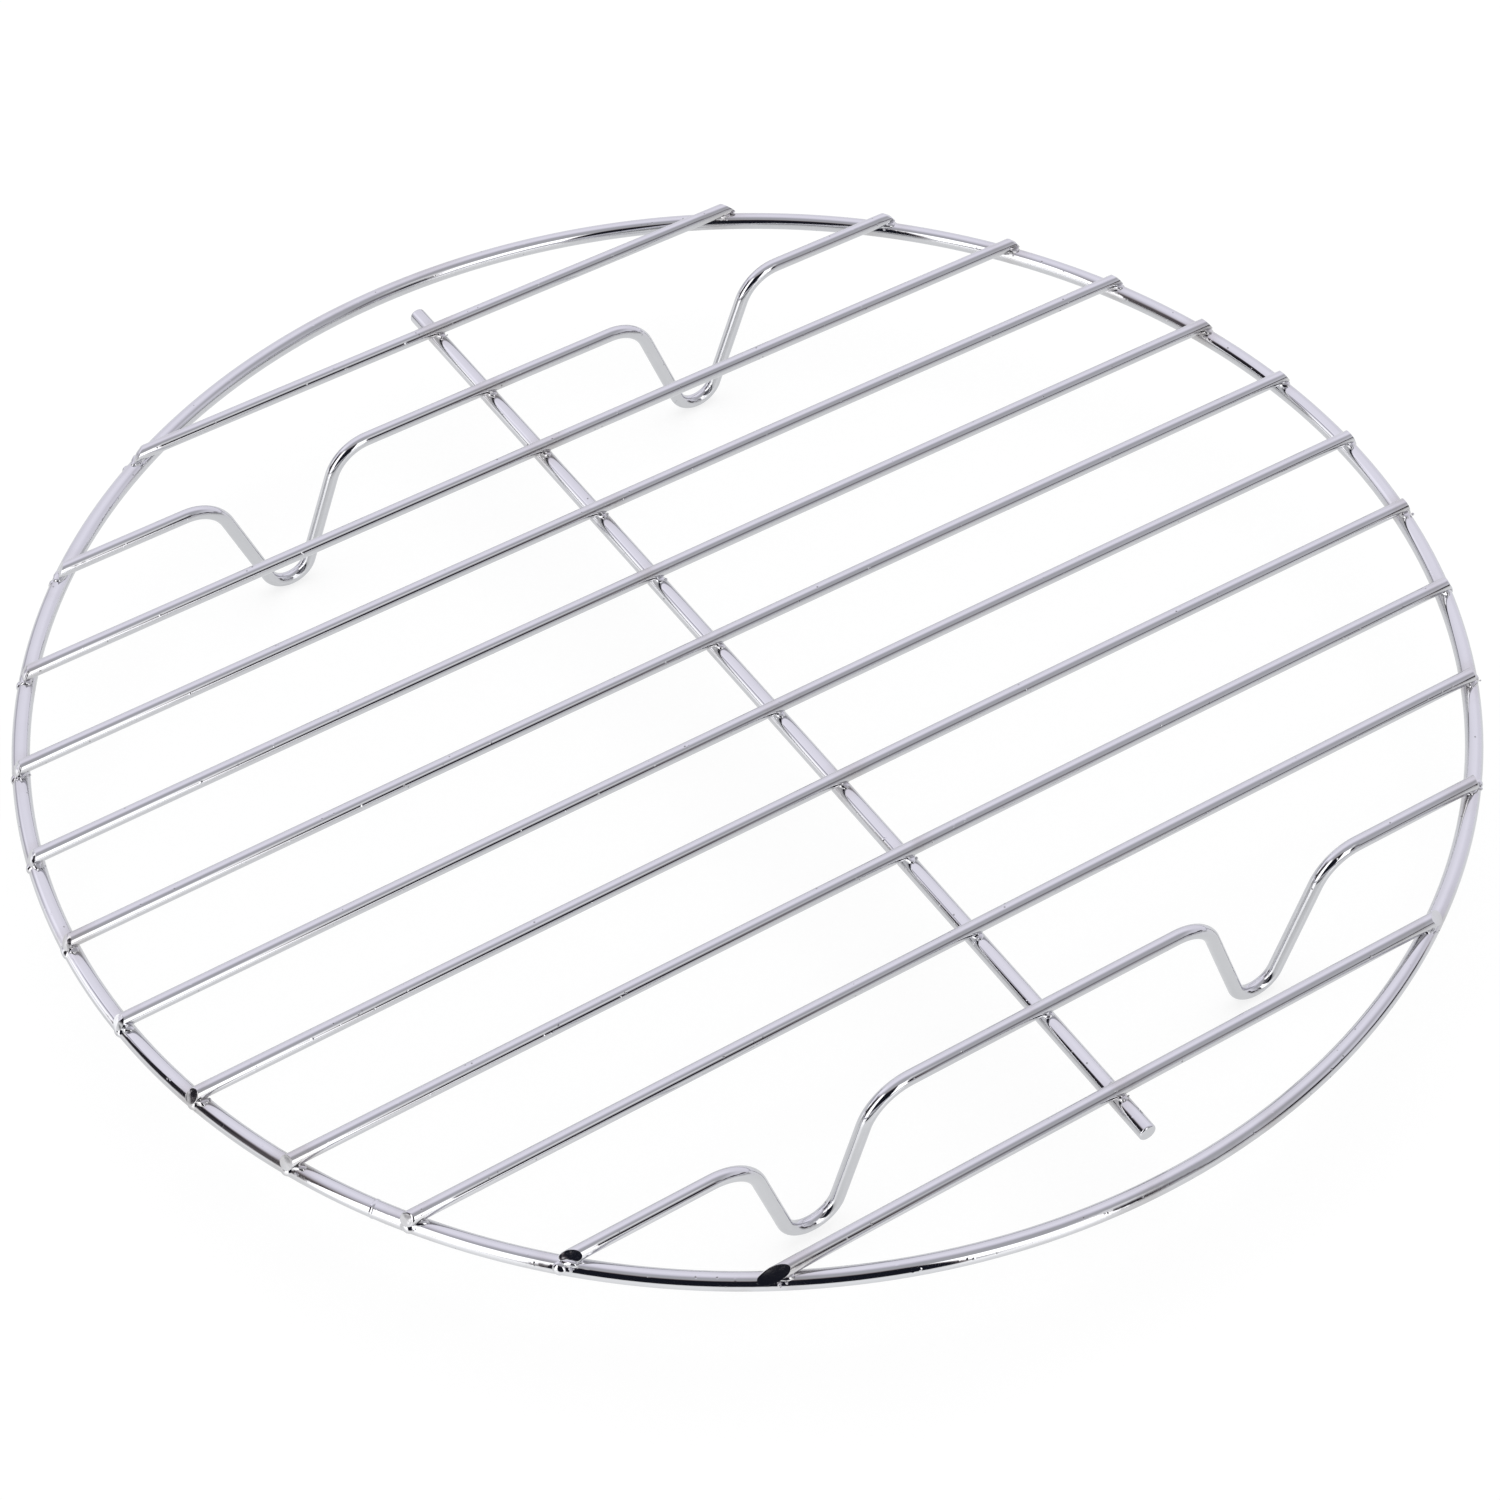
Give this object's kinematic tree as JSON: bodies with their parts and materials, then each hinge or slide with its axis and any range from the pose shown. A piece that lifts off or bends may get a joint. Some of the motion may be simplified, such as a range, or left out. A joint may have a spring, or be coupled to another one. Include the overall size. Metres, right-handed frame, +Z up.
{
  "type": "cooling rack",
  "caption": "Round chrome-plated wire rack on four bent feet that holds bakes clear of the table so that air reaches them from all sides.",
  "frame": {"origin": "on the table, under the middle of the rim", "axes": "+X along the grid wires, +Y along the brace, +Z up"},
  "size_m": [0.3, 0.3, 0.033],
  "materials": {
    "chrome_wire": "bright plated steel wire, slightly wavy, with small specks at the welds"
  },
  "bodies": {
    "root": {"rim_ring": "chrome_wire", "rim_seam_weld": "chrome_wire", "cross_brace": "chrome_wire", "grid_wire_01": "chrome_wire", "leg_wire_02": "chrome_wire", "grid_wire_03": "chrome_wire", "grid_wire_04": "chrome_wire", "grid_wire_05": "chrome_wire", "grid_wire_06": "chrome_wire", "grid_wire_07": "chrome_wire", "grid_wire_08": "chrome_wire", "grid_wire_09": "chrome_wire", "grid_wire_10": "chrome_wire", "leg_wire_11": "chrome_wire", "grid_wire_12": "chrome_wire"}
  },
  "joints": []
}
